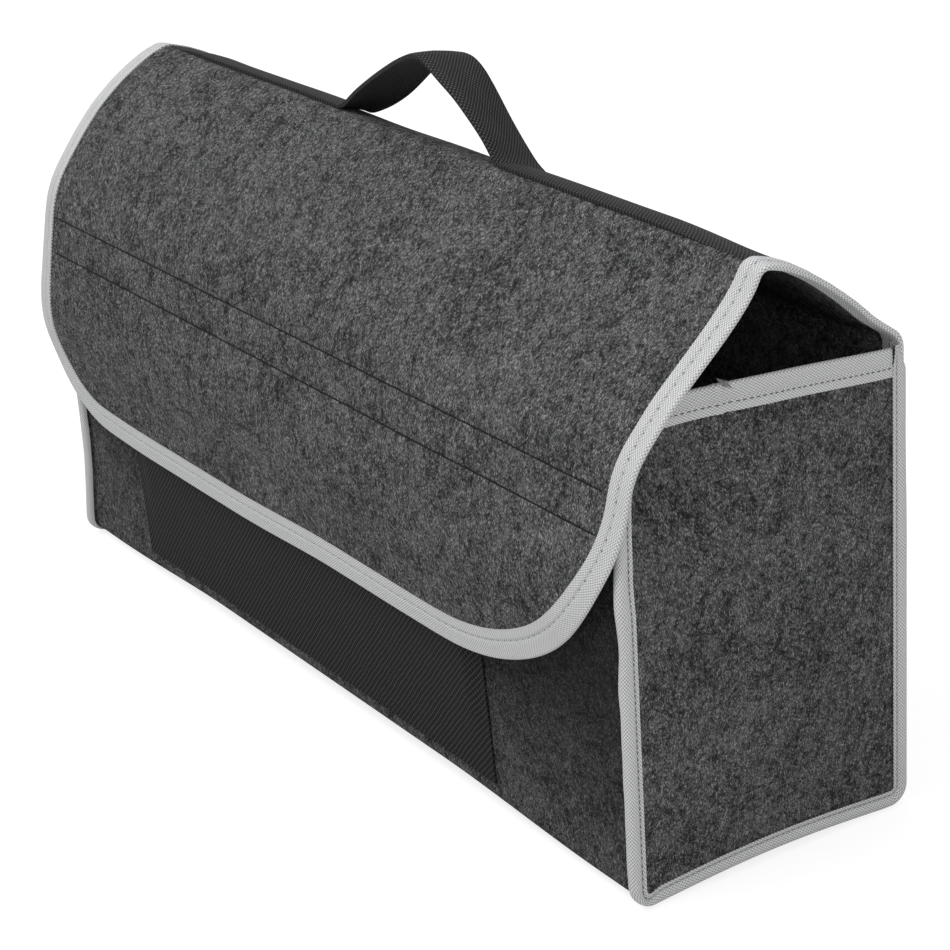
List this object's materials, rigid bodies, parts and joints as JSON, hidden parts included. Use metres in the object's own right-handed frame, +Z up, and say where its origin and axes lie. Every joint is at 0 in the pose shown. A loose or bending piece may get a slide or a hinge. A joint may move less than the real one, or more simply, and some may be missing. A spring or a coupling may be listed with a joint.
{
  "type": "felt storage bag",
  "caption": "Soft felt box for a car boot with a wrap-over lid, bound edges, a webbing carry handle and a net front pocket.",
  "frame": {"origin": "on the ground under the middle of the bag's bounding box", "axes": "+X along the bag's length to its right-hand side seen from the front, -Y out of the front with the net pocket, +Z up"},
  "size_m": [0.5024, 0.1578, 0.299],
  "materials": {
    "felt": "needle felt, heathered charcoal",
    "binding_tape": "grosgrain ribbon, light grey",
    "webbing": "woven webbing, black",
    "net": "fine knitted net, black",
    "elastic": "flat elastic, black",
    "hook_tape": "hook tape, black"
  },
  "bodies": {
    "bag": {"body_felt": "felt", "side_panel_left": "felt", "side_panel_right": "felt", "side_binding_left": "binding_tape", "side_binding_right": "binding_tape", "side_top_binding_left": "binding_tape", "side_top_binding_right": "binding_tape", "front_top_binding": "binding_tape", "mesh_pocket": "net", "pocket_hem": "elastic", "base_hook_strip_front": "hook_tape", "base_hook_strip_rear": "hook_tape"},
    "lid": {"lid_felt": "felt", "lid_binding": "binding_tape", "ridge_webbing": "webbing", "lid_hook_strip": "hook_tape"}
  },
  "joints": [
    {"name": "lid_hinge", "type": "hinge", "parent": "bag", "child": "lid", "pos_m": [0, 0.0794, 0.2096], "axis": [-1, 0, 0], "range_deg": [0, 180]}
  ]
}
